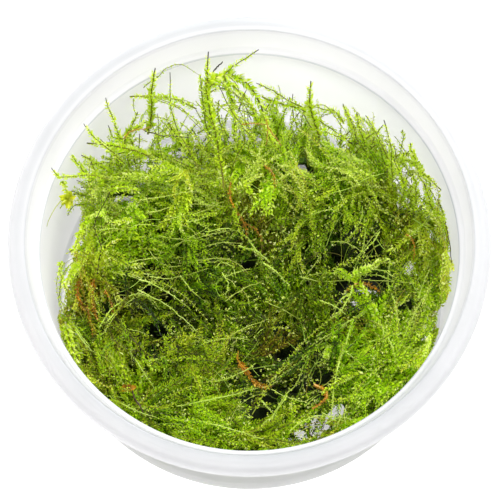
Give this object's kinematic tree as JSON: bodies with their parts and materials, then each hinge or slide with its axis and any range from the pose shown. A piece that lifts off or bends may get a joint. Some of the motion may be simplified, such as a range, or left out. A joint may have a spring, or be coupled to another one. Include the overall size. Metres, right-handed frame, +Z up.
{
  "type": "moss clump",
  "caption": "Dense tangled clump of bright green water moss with leafy shoots leaning to the back rim, resting in a shallow clear plastic culture cup.",
  "frame": {"origin": "centre of the cup's foot ring, on the surface that the cup stands on", "axes": "+Z up along the cup's axis; +Y towards the side that the long shoots lean to, away from the picture's camera; +X to the picture's right"},
  "size_m": [0.1, 0.1, 0.042],
  "materials": {
    "clear_polypropylene": "milky clear, smooth moulded polypropylene with a satin sheen",
    "moss_green": "damp matt mass of tiny leaves, olive to mid green with dark hollows",
    "shoot_lime": "fresh yellow-green leaves, thin and a little translucent, dark stems",
    "strand_green": "smooth light green stems with few leaves",
    "dry_brown": "dry orange-brown shoots, matt",
    "bud_yellow": "yellow young leaves, slightly glossy",
    "dead_brown": "dead dark brown leaf scrap, matt"
  },
  "bodies": {
    "root": {"cup": "clear_polypropylene", "moss_mat": "moss_green", "leaning_shoot_01": "shoot_lime", "leaning_shoot_02": "shoot_lime", "leaning_shoot_03": "shoot_lime", "leaning_shoot_04": "shoot_lime", "leaning_shoot_05": "shoot_lime", "leaning_shoot_06": "shoot_lime", "leaning_shoot_07": "shoot_lime", "leaning_shoot_08": "shoot_lime", "leaning_shoot_09": "shoot_lime", "leaning_shoot_10": "shoot_lime", "leaning_shoot_11": "shoot_lime", "leaning_shoot_12": "shoot_lime", "leaning_shoot_13": "shoot_lime", "leaning_shoot_14": "shoot_lime", "leaning_shoot_15": "shoot_lime", "leaning_shoot_16": "shoot_lime", "leaning_shoot_17": "shoot_lime", "leaning_shoot_18": "shoot_lime", "leaning_shoot_19": "shoot_lime", "leaning_shoot_20": "shoot_lime", "leaning_shoot_21": "shoot_lime", "leaning_shoot_22": "shoot_lime", "leaning_shoot_23": "shoot_lime", "leaning_shoot_24": "shoot_lime", "leaning_shoot_25": "shoot_lime", "arching_strand_01": "strand_green", "arching_strand_02": "strand_green", "arching_strand_03": "strand_green", "arching_strand_04": "strand_green", "arching_strand_05": "strand_green", "arching_strand_06": "strand_green", "arching_strand_07": "strand_green", "arching_strand_08": "strand_green", "arching_strand_09": "strand_green", "arching_strand_10": "strand_green", "arching_strand_11": "strand_green", "arching_strand_12": "strand_green", "arching_strand_13": "strand_green", "arching_strand_14": "strand_green", "dry_shoot_01": "dry_brown", "dry_shoot_02": "dry_brown", "dry_shoot_03": "dry_brown", "dry_shoot_04": "dry_brown", "yellow_bud": "bud_yellow", "dead_scrap": "dead_brown"}
  },
  "joints": []
}
